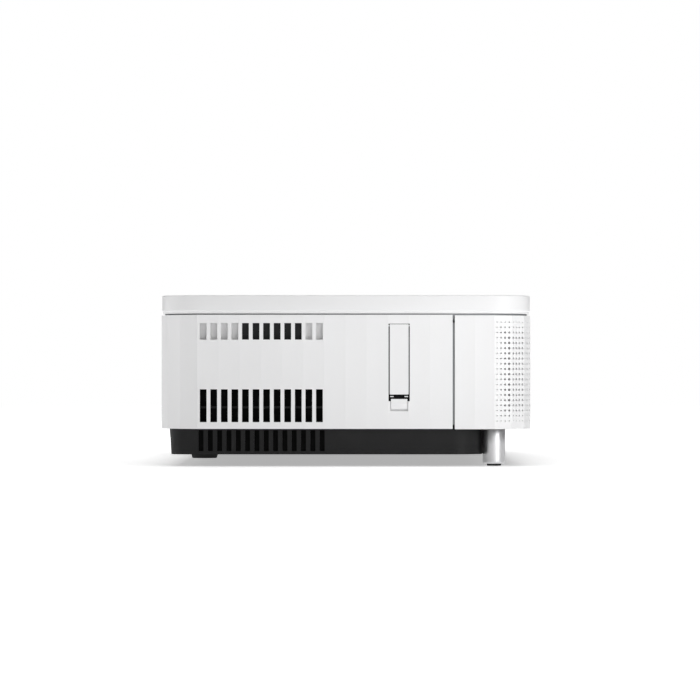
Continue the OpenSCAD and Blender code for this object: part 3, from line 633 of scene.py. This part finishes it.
def right_side():
    flutes = Flutes(side_ridges(1))
    windows = slot_windows(flutes, UPPER_SLOT_Z)
    windows.append(window_at(flutes, 1, FILTER_BOX[0].y - FILTER_GAP, FILTER_BOX[1].y + FILTER_GAP,
                             FILTER_BOX[0].z - FILTER_GAP, FILTER_BOX[1].z + FILTER_GAP))
    obj = fluted_shell("right_side_panel_skin", flutes, PANEL_LEVELS, windows)
    return finish_piece(obj, "right_side_panel")


def filter_cover():
    flutes = Flutes(side_ridges(1))
    us = sorted((flutes.u_at(1, FILTER_BOX[0].y), flutes.u_at(1, FILTER_BOX[1].y)))
    levels = [FILTER_BOX[0].z, FILTER_BOX[1].z]
    obj = fluted_shell("filter_cover_skin", flutes, levels, slot_windows(flutes, LOWER_SLOT_Z),
                       part=us)
    return finish_piece(obj, "filter_tray")


def filter_insert(mesh):
    """The filter's side rails and its pleated media, pleats upright and seen through the slots."""
    face = FILTER_BOX[1].x - WALL
    back = FILTER_BOX[0].x
    overlap = 0.1 * MM
    rim = 0.4 * MM + FILTER_RAIL
    y0, y1 = FILTER_BOX[0].y + rim, FILTER_BOX[1].y - rim
    z0, z1 = FILTER_BOX[0].z + FILTER_MARGIN, FILTER_BOX[1].z - FILTER_MARGIN
    for y in (y0 + overlap - FILTER_RAIL, y1 - overlap):
        box_solid(mesh, (back, y, z0), (face, y + FILTER_RAIL, z1))
    pitch = (y1 - y0) / PLEAT_COUNT
    crest = back + PLEAT_CREST
    valley = crest - PLEAT_DEPTH
    outline = [(back, y0)]
    for k in range(PLEAT_COUNT):
        outline += [(valley, y0 + pitch * k), (crest, y0 + pitch * (k + 0.5))]
    outline += [(valley, y1), (back, y1)]
    skin_loops(mesh, [[Vector((x, y, z)) for x, y in outline] for z in (z0, z1)])


def rear_wall():
    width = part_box("rear_panel")[1].x
    pitch = 2 * width / REAR_FLUTES
    flutes = Flutes([Vector((-width + pitch * k, HALF_D)) for k in range(REAR_FLUTES + 1)])
    plate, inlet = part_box("io_plate"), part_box("ac_inlet")
    rim = 3 * MM
    windows = [
        window_at(flutes, 0, plate[0].x + rim, plate[1].x - rim, plate[0].z + rim, plate[1].z - rim),
        window_at(flutes, 0, inlet[0].x - FIT_GAP, inlet[1].x + FIT_GAP, inlet[0].z - FIT_GAP,
                  inlet[1].z + FIT_GAP),
    ]
    obj = fluted_shell("rear_panel_skin", flutes, PANEL_LEVELS, windows)
    return finish_piece(obj, "rear_panel")


HOLE_ROWS = 20
HOLE_TOP_Z = 132.3 * MM
HOLE_PITCH = 4.773 * MM
HOLE_RADIUS = 1.25 * MM
HOLES_ACROSS = 4  # in each flute
HOLE_CELL = 0.2  # of a flute: narrower mesh cells are the ridges between holes
HOLE_FADE = [0.5, 0.68, 0.84]  # size of the first holes in from each border
PLAIN_FLUTES = 2  # at each end of the front cover
IR_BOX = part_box("ir_window")
IR_CLEAR = 4 * MM
IR_ROWS = (16.5, 18.5)  # the rows of holes that the window's opening takes up


def front_wall():
    corner = list(reversed(corner_ridges()))
    left_corner = list(reversed(mirrored(corner, -1, -1)))
    right_corner = mirrored(corner, 1, -1)
    x_end = corner[0].x
    pitch = 2 * x_end / FRONT_FLUTES
    front = [Vector((-x_end + pitch * k, -HALF_D)) for k in range(1, FRONT_FLUTES)]
    plain_middle = (COVER_REAR_Y - HALF_D + CORNER) / 2
    plain = [Vector((-HALF_W, y)) for y in (COVER_REAR_Y, plain_middle)]
    ridges = plain + left_corner + front + right_corner + list(reversed(mirrored(plain, -1, 1)))
    flutes = Flutes(ridges)
    total = len(flutes.chords)
    z_low = HOLE_TOP_Z - HOLE_PITCH * (HOLE_ROWS - 0.5)
    levels = [z_low + HOLE_PITCH * k for k in range(HOLE_ROWS + 1)]
    levels += [COVER_BOX[0].z, COVER_BOX[1].z]
    ir_mid = (IR_BOX[0] + IR_BOX[1]) / 2
    ir_half = (IR_BOX[1] - IR_BOX[0]) / 2

    def fade(steps_in):
        return HOLE_FADE[steps_in] if steps_in < len(HOLE_FADE) else 1.0

    def hole(u, z, width, height):
        row = round((HOLE_TOP_Z - z) / HOLE_PITCH)
        is_cell = width > HOLE_CELL and abs(height - HOLE_PITCH) < 0.01 * MM
        if not is_cell or not 0 <= row < HOLE_ROWS:
            return None
        column = math.floor((u - PLAIN_FLUTES) * HOLES_ACROSS)
        last = (total - 2 * PLAIN_FLUTES) * HOLES_ACROSS - 1
        if not 0 <= column <= last:
            return None
        place = flutes.point(u, z)
        beside_x = abs(place.x - ir_mid.x) < ir_half.x + IR_CLEAR
        beside_z = abs(z - ir_mid.z) < ir_half.z + IR_CLEAR
        if beside_x and beside_z:
            return None
        steps_in = min(row, HOLE_ROWS - 1 - row, column, last - column)
        return HOLE_RADIUS * fade(steps_in)

    windows = [window_at(flutes, 0, IR_BOX[0].x - FIT_GAP, IR_BOX[1].x + FIT_GAP,
                         levels[1], levels[3])]
    obj = fluted_shell("front_cover_skin", flutes, levels, windows, hole, HOLE_STEPS)
    return finish_piece(obj, "front_cover")


left_side()
right_side()
filter_cover()
rear_wall()
front_wall()

# ---- solids built from loops ----


def arc_loop(half_x, half_y, radius, z, middle=(0.0, 0.0), steps=14):
    """A rounded rectangle as a closed loop of points at height z."""
    points = []
    for sx, sy, first in ((1, 1, 0), (-1, 1, 90), (-1, -1, 180), (1, -1, 270)):
        for k in range(steps + 1):
            a = math.radians(first + 90 * k / steps)
            points.append(Vector((middle[0] + sx * (half_x - radius) + radius * math.cos(a),
                                  middle[1] + sy * (half_y - radius) + radius * math.sin(a), z)))
    return points


def circle_loop(centre, radius, z, steps=72):
    angles = [2 * math.pi * k / steps for k in range(steps)]
    return [Vector((centre[0] + radius * math.cos(a), centre[1] + radius * math.sin(a), z))
            for a in angles]


def skin_loops(mesh, loops, closed=False, cap=True):
    """Joins loops of equal length with quads, and caps the ends or joins them to each other."""
    rings = [[mesh.verts.new(p) for p in loop] for loop in loops]
    pairs = list(zip(rings, rings[1:]))
    if closed:
        pairs.append((rings[-1], rings[0]))
    for low, high in pairs:
        n = len(low)
        for k in range(n):
            mesh.faces.new([low[k], low[(k + 1) % n], high[(k + 1) % n], high[k]])
    if cap and not closed:
        mesh.faces.new(list(reversed(rings[0])))
        mesh.faces.new(rings[-1])


def box_solid(mesh, a, b):
    corners = [(x, y, z) for z in (a[2], b[2]) for y in (a[1], b[1]) for x in (a[0], b[0])]
    v = [mesh.verts.new(c) for c in corners]
    for f in ((0, 2, 3, 1), (4, 5, 7, 6), (0, 1, 5, 4), (1, 3, 7, 5), (3, 2, 6, 7), (2, 0, 4, 6)):
        mesh.faces.new([v[k] for k in f])


def built(name, node, build, edge=0.3 * MM, slot=None, replaces=True, segments=2, angle=32):
    """A piece whose mesh build(bmesh) makes, with rounded edges."""
    work = bmesh.new()
    build(work)
    bmesh.ops.recalc_face_normals(work, faces=work.faces)
    mesh = bpy.data.meshes.new(name)
    work.to_mesh(mesh)
    work.free()
    smooth(mesh, angle)
    obj = add_object(name, mesh)
    if edge:
        add_bevel(obj, edge, segments, angle=angle)
    return finish_piece(obj, node, slot, replaces)


built("filter_insert", "filter_tray", filter_insert, 0, slot="dark_gauze", replaces=False)


SPRING_X = -HALF_W + WALL + 2.6 * MM
SPRING_FOOT = 40 * MM
SPRING_HEIGHT = 8 * MM
SPRING_TURNS = 6
SPRING_RADIUS = 1.6 * MM  # to the middle of the wire
WIRE_RADIUS = 0.3 * MM
LEDGE = (5 * MM, 6 * MM, 1.5 * MM)  # reach, half length and thickness


def spring_ledge(mesh):
    """The ledge inside the left panel that the latch spring stands on."""
    x = -HALF_W + WALL
    root = 0.2 * MM
    box_solid(mesh, (x - root, DOOR_Y - LEDGE[1], SPRING_FOOT - LEDGE[2]),
              (x + LEDGE[0], DOOR_Y + LEDGE[1], SPRING_FOOT))


built("spring_ledge", "left_side_panel", spring_ledge, replaces=False)


def latch_coil(mesh):
    """Round wire wound in a helix, standing on the ledge."""
    steps = 24 * SPRING_TURNS
    sides = 8
    rings = []
    for i in range(steps + 1):
        a = math.tau * SPRING_TURNS * i / steps
        outward = Vector((math.cos(a), math.sin(a), 0))
        rise = WIRE_RADIUS + (SPRING_HEIGHT - 2 * WIRE_RADIUS) * i / steps
        centre = Vector((SPRING_X, DOOR_Y, SPRING_FOOT + rise)) + SPRING_RADIUS * outward
        ring = []
        for j in range(sides):
            b = math.tau * j / sides
            offset = math.cos(b) * outward + Vector((0, 0, math.sin(b)))
            ring.append(mesh.verts.new(centre + WIRE_RADIUS * offset))
        rings.append(ring)
    for low, high in zip(rings, rings[1:]):
        for j in range(sides):
            k = (j + 1) % sides
            mesh.faces.new((low[j], low[k], high[k], high[j]))
    mesh.faces.new(rings[0])
    mesh.faces.new(rings[-1][::-1])


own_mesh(built("latch_coil", "latch_spring", latch_coil, 0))

SCREEN = 0.6 * MM  # thickness of the gauze
UPPER_SCREEN_X = 341.5 * MM
LOWER_SCREEN_X = 338.5 * MM
BASE_SCREEN_X = 335 * MM
BAFFLE_OPENING = ((38.7 * MM, 97.4 * MM), (110 * MM, 134 * MM))  # ranges in Y and Z
LOUVRE_OPENING = ((16 * MM, 138 * MM), (37.4 * MM, 75.4 * MM))
BASE_OPENING = ((16 * MM, 138 * MM), (13.8 * MM, 36.9 * MM))


def gauze(mesh, side, face_x, opening):
    """A sheet of gauze over an opening, face_x out from the middle. side is -1 for the left."""
    x = sorted((side * face_x, side * (face_x - SCREEN)))
    (y0, y1), (z0, z1) = opening
    box_solid(mesh, (x[0], y0, z0), (x[1], y1, z1))


def upper_screens(mesh):
    """The gauze behind the opening in each upper baffle."""
    for side in (-1, 1):
        gauze(mesh, side, UPPER_SCREEN_X, BAFFLE_OPENING)


def lower_screens(mesh):
    """The gauze behind the lower left slots and behind the slots of the base."""
    gauze(mesh, -1, LOWER_SCREEN_X, LOUVRE_OPENING)
    for side in (-1, 1):
        gauze(mesh, side, BASE_SCREEN_X, BASE_OPENING)


built("upper_screens", "vent_screens", upper_screens, 0, slot="dark_mesh")
built("lower_screens", "vent_screens", lower_screens, 0)

# ---- top cover ----

TOP_INSET = 0.4 * MM
TOP_RADIUS = 38 * MM
TOP_EDGE = 1.3 * MM
TOP_PLATE = 3.5 * MM
TOP_SKIRT_Z = 142.9 * MM  # lower end of the visible rim
TOP_LIP = [  # inset and height in millimetres, from the inner wall out to the rim
    (4.0, 142.5), (3.2, 142.4), (3.1, 140.2), (1.6, 140.2), (1.3, 140.5), (1.25, 141.9), (0.9, 142.3),
]
BEZEL_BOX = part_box("window_bezel")
RECESS_HALF = (160 * MM, 70 * MM)
RECESS_MIDDLE = (0.0, (BEZEL_BOX[0].y + BEZEL_BOX[1].y) / 2)
RECESS_RADIUS = 10 * MM
RECESS_CHAMFER = 0.6 * MM


def top_loop(inset, z):
    return arc_loop(HALF_W - inset, HALF_D - inset, TOP_RADIUS - inset, z)


def recess_loop(out, z):
    return arc_loop(RECESS_HALF[0] + out, RECESS_HALF[1] + out, RECESS_RADIUS + out, z, RECESS_MIDDLE)


def top_cover(mesh):
    """A plate with a rounded edge, a lip that fits into the casing and a chamfered recess."""
    loops = [top_loop(inset * MM, z * MM) for inset, z in TOP_LIP]
    loops.append(top_loop(TOP_INSET, TOP_SKIRT_Z))
    steps = 5
    for k in range(steps + 1):
        a = math.radians(90 * k / steps)
        loops.append(top_loop(TOP_INSET + TOP_EDGE * (1 - math.cos(a)),
                              TOP_Z - TOP_EDGE * (1 - math.sin(a))))
    for out, drop in ((1, 0), (0.3, 0.3), (0, 1)):
        loops.append(recess_loop(RECESS_CHAMFER * out, TOP_Z - RECESS_CHAMFER * drop))
    loops.append(recess_loop(0, TOP_Z - TOP_PLATE))
    loops.append(top_loop(TOP_LIP[0][0] * MM, TOP_Z - TOP_PLATE))
    skin_loops(mesh, loops, closed=True)


built("top_cover_skin", "top_cover", top_cover, edge=0)

# ---- black base and feet ----

BASE_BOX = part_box("base_tray")
BASE_TAPER = 1.7 * MM
TAPER_X = (308 * MM, 25 * MM)  # where the side walls begin, and how soon they lean in fully
TAPER_Y = (148 * MM, 8 * MM)


def taper_base(point):
    """Draws the tub's walls in towards its floor."""
    down = min(1.0, max(0.0, (SHELL_Z0 - point.z) / (SHELL_Z0 - BASE_BOX[0].z)))
    x, y = point.x, point.y
    if abs(x) > TAPER_X[0]:
        x -= math.copysign(BASE_TAPER * down * min(1, (abs(x) - TAPER_X[0]) / TAPER_X[1]), x)
    if y > TAPER_Y[0]:
        y -= BASE_TAPER * down * min(1, (y - TAPER_Y[0]) / TAPER_Y[1])
    return Vector((x, y, point.z))


refined("base_tray", 0.6 * MM, 2, taper_base)


def turned(name, node, profile, slot=None, edge=0.0):
    """A piece turned about the vertical middle of its CAD node from (radius, height) points."""
    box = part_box(node)
    centre = ((box[0].x + box[1].x) / 2, (box[0].y + box[1].y) / 2)

    def build(mesh):
        skin_loops(mesh, [circle_loop(centre, r * MM, z * MM) for r, z in profile])

    return built(name, node, build, edge, slot)


# Outlines of turned parts, as radius and height in millimetres
SLEEVE_PROFILE = [
    (7.2, 3.8), (7.2, 2.1), (9.6, 2.0), (10.1, 2.25), (10.45, 2.9), (10.5, 3.8), (10.5, 5.0),
    (10.42, 20.0), (10.35, 33.2), (10.2, 33.6), (9.8, 33.9), (4.0, 33.9), (4.0, 56.0), (3.4, 57.0),
]
PAD_PROFILE = [(6.2, 0), (6.6, 0.3), (6.75, 0.8), (6.75, 3.4), (2.0, 3.5), (2.0, 11.0)]
REAR_PROFILE = [(11.6, 0), (12.2, 0.25), (12.6, 0.9), (14.9, 10.0), (15.0, 10.8)]
for side in ("left", "right"):
    turned(side + "_foot_sleeve_turned", side + "_foot_sleeve", SLEEVE_PROFILE)
    turned(side + "_foot_pad_moulded", side + "_foot_pad", PAD_PROFILE)
turned("rear_foot_moulded", "rear_foot", REAR_PROFILE)

# ---- focus door and latch ----


DOOR_SKIRT = 4.8 * MM  # height of the legs below the door's skin
HOOK_Y = 6.5 * MM
HOOK_HALF = (1.4 * MM, 1.6 * MM)  # half widths of a stem and a bar
HOOK_FACE = (1.9 * MM, 1.6 * MM)  # how far a stem and a bar lie behind the door's face
BAR_DROP = (2.3 * MM, 1.4 * MM)  # lower and upper face of a bar, below the door's skin


def door():
    """The door's skin, and the two legs under it, each a stem coloured black as painted shade and a
    light bar.
    """
    flutes = Flutes(side_ridges(-1))
    us = sorted((flutes.u_at(1, DOOR_BOX[0].y), flutes.u_at(1, DOOR_BOX[1].y)))
    leg_top = DOOR_BOX[0].z + DOOR_SKIRT
    obj = fluted_shell("focus_door_skin", flutes, [leg_top, DOOR_BOX[1].z], wall=2.8 * MM,
                       edge=0.5 * MM, part=us)
    finish_piece(obj, "focus_door")
    x_out, x_in = DOOR_BOX[0].x, DOOR_BOX[1].x

    def shade_stems(mesh):
        root = 0.4 * MM
        for y in (DOOR_Y - HOOK_Y, DOOR_Y + HOOK_Y):
            box_solid(mesh, (x_out + HOOK_FACE[0], y - HOOK_HALF[0], DOOR_BOX[0].z),
                      (x_in, y + HOOK_HALF[0], leg_top + root))

    def bars(mesh):
        for y in (DOOR_Y - HOOK_Y, DOOR_Y + HOOK_Y):
            box_solid(mesh, (x_out + HOOK_FACE[1], y - HOOK_HALF[1], leg_top - BAR_DROP[0]),
                      (x_in, y + HOOK_HALF[1], leg_top - BAR_DROP[1]))

    # the stems take the base's black as painted shade in the gap under the door, not for their own
    # colour
    built("door_hook_stems", "focus_door", shade_stems, 0.15 * MM, slot="black_base", replaces=False)
    built("door_hook_bars", "focus_door", bars, 0.15 * MM, replaces=False)


door()
refined("latch_tab", 0.25 * MM)
refined("focus_lever", 0.5 * MM)
refined("focus_slot_plate", 0.3 * MM)

# ---- seams ----


LIP_Z = (SHELL_Z0 + 4 * MM, SHELL_Z1 - 7 * MM)
LIP_THICK = 1.6 * MM
SIDE_LIP = (6 * MM, 8 * MM)  # in front of the seam and behind it
REAR_LIP = 7 * MM  # on each side of the seam


def seam_shade_lips(mesh):
    """Ledges behind the four upright seams of the casing, coloured dark grey as painted shade in the
    seams.
    """
    z0, z1 = LIP_Z
    x_in = HALF_W - WALL
    y_in = HALF_D - WALL
    seam = (PANEL_FRONT_Y + COVER_REAR_Y) / 2
    for s in (-1, 1):
        x = sorted((s * x_in, s * (x_in - LIP_THICK)))
        box_solid(mesh, (x[0], seam - SIDE_LIP[0], z0), (x[1], seam + SIDE_LIP[1], z1))
        rear = s * RETURN_X
        box_solid(mesh, (rear - REAR_LIP, y_in - LIP_THICK, z0), (rear + REAR_LIP, y_in, z1))


# the lips are dark grey as painted shade in the narrow seams, not for their own colour
built("seam_shade_lips", "left_side_panel", seam_shade_lips, slot="grey_frame", replaces=False)

# ---- window recess ----

refined("window_bezel", 0.4 * MM)
refined("projection_window", 0.5 * MM)
refined("obstacle_sensors", 0.4 * MM)


RIB_COUNT = 9
RIB_Z = (BEZEL_BOX[0].z + 6 * MM, BEZEL_BOX[1].z - 1.5 * MM)
RIB_CREST = -4.6 * MM  # from the recess edge, as the next two
RIB_VALLEY = -3.4 * MM
RIB_BACK = -2.6 * MM


def recess_ribs(mesh):
    """Fine steps round the recess walls, which catch stray light."""
    z0, z1 = RIB_Z
    pitch = (z1 - z0) / RIB_COUNT
    loops = []
    for k in range(RIB_COUNT):
        loops.append(recess_loop(RIB_CREST, z0 + pitch * k))
        loops.append(recess_loop(RIB_VALLEY, z0 + pitch * (k + 0.85)))
    loops.append(recess_loop(RIB_BACK, z1))
    loops.append(recess_loop(RIB_BACK, z0))
    skin_loops(mesh, loops, closed=True)


built("recess_ribs", "window_bezel", recess_ribs, 0, replaces=False, angle=20)

# ---- rear sockets and small parts ----

SMALL_PART_EDGE = {  # millimetres
    "io_plate": 0.3,
    "signal_sockets": 0.15,
    "ac_inlet": 0.3,
    "power_button": 0.4,
    "left_vent_louvre": 0.2,
    "upper_frame": 0.4,
}
for small_part, width in SMALL_PART_EDGE.items():
    refined(small_part, width * MM)


def ir_window(mesh):
    """The remote-control window, a little behind the front and clear of its opening."""
    z0 = HOLE_TOP_Z - HOLE_PITCH * IR_ROWS[1] + FIT_GAP
    z1 = HOLE_TOP_Z - HOLE_PITCH * IR_ROWS[0] - FIT_GAP
    sunk = 0.3 * MM
    box_solid(mesh, (IR_BOX[0].x, sunk - HALF_D, z0), (IR_BOX[1].x, WALL - HALF_D, z1))


built("ir_window_lens", "ir_window", ir_window, 0.6 * MM, segments=3)


LIGHT_PITCH = 14 * MM
LIGHT_Y = -148 * MM
LIGHT_PROFILE = [(2.0, -6), (2.0, -0.25), (1.7, -0.15), (0.9, -0.1)]  # height from the top face


def status_lights(mesh):
    """Three domed lenses in the top cover."""
    for k in (-1, 0, 1):
        centre = (k * LIGHT_PITCH, LIGHT_Y)
        loops = [circle_loop(centre, r * MM, TOP_Z + h * MM, 32) for r, h in LIGHT_PROFILE]
        skin_loops(mesh, loops)


built("status_light_lenses", "status_light_pipe", status_lights, 0)

# ---- stage ----


def add_area(name, place, target, size, power):
    data = bpy.data.lights.new(name, "AREA")
    data.shape = "RECTANGLE"
    data.size, data.size_y = size
    data.energy = power
    light = bpy.data.objects.new(name, data)
    light.location = place
    aim = Vector(target) - Vector(place)
    light.rotation_euler = aim.to_track_quat("-Z", "Y").to_euler()
    light.visible_camera = False
    bpy.context.scene.collection.objects.link(light)


FLOOR_HALF = 6  # metres
FLOOR_GLOW = (0.42, 0.97)  # under the object and from FLOOR_FADE[1] outwards
FLOOR_FADE = (0.5, 1.3)  # metres from the object's middle


def add_floor():
    """A lit white table: its glow grows outwards, so that it ends in the white background."""
    mesh = bpy.data.meshes.new("floor")
    corners = [(-1, -1), (1, -1), (1, 1), (-1, 1)]
    mesh.from_pydata([(x * FLOOR_HALF, y * FLOOR_HALF, 0) for x, y in corners], [], [(0, 1, 2, 3)])
    floor = add_object("floor", mesh)
    material = moulded("floor_paper", (0.92, 0.92, 0.92), 0.8, 0.02 * MM, 700, 0.01)
    nodes, links = material.node_tree.nodes, material.node_tree.links
    shader = nodes["Principled BSDF"]
    coords = nodes.new("ShaderNodeTexCoord")
    distance = nodes.new("ShaderNodeVectorMath")
    distance.operation = "LENGTH"
    links.new(coords.outputs["Object"], distance.inputs[0])
    glow = nodes.new("ShaderNodeMapRange")
    glow.interpolation_type = "SMOOTHSTEP"
    glow.inputs["From Min"].default_value, glow.inputs["From Max"].default_value = FLOOR_FADE
    glow.inputs["To Min"].default_value, glow.inputs["To Max"].default_value = FLOOR_GLOW
    links.new(distance.outputs["Value"], glow.inputs["Value"])
    shader.inputs["Emission Color"].default_value = (1, 1, 1, 1)
    links.new(glow.outputs["Result"], shader.inputs["Emission Strength"])
    floor.data.materials.append(material)


def set_world(light_strength):
    world = bpy.data.worlds.new("studio")
    world.use_nodes = True
    nodes, links = world.node_tree.nodes, world.node_tree.links
    background = nodes["Background"]
    background.inputs["Color"].default_value = (1, 1, 1, 1)
    path = nodes.new("ShaderNodeLightPath")
    level = nodes.new("ShaderNodeMapRange")
    level.inputs["To Min"].default_value = light_strength
    level.inputs["To Max"].default_value = 1.0
    links.new(path.outputs["Is Camera Ray"], level.inputs["Value"])
    links.new(level.outputs["Result"], background.inputs["Strength"])
    bpy.context.scene.world = world


WORLD_LIGHT = 0.04  # the camera sees a white background, and the object this much of it

add_floor()
set_world(WORLD_LIGHT)
add_area("key_high", (-0.80, -0.16, 0.22), (-0.35, -0.14, 0.09), (0.35, 0.35), 0.25)
add_area("key_front", (-0.78, -0.46, 0.20), (-0.35, -0.14, 0.09), (0.30, 0.30), 1.1)
add_area("rear", (-0.2, 1.1, 0.4), (-0.33, 0.15, 0.09), (0.8, 0.6), 2.4)
add_area("right", (1.3, -0.1, 0.5), (0.34, 0.0, 0.09), (0.8, 0.8), 4.0)
add_area("top", (0.0, 0, 1.9), (0, 0, 0), (3.0, 2.4), 32)
bpy.context.scene.view_settings.view_transform = "Standard"
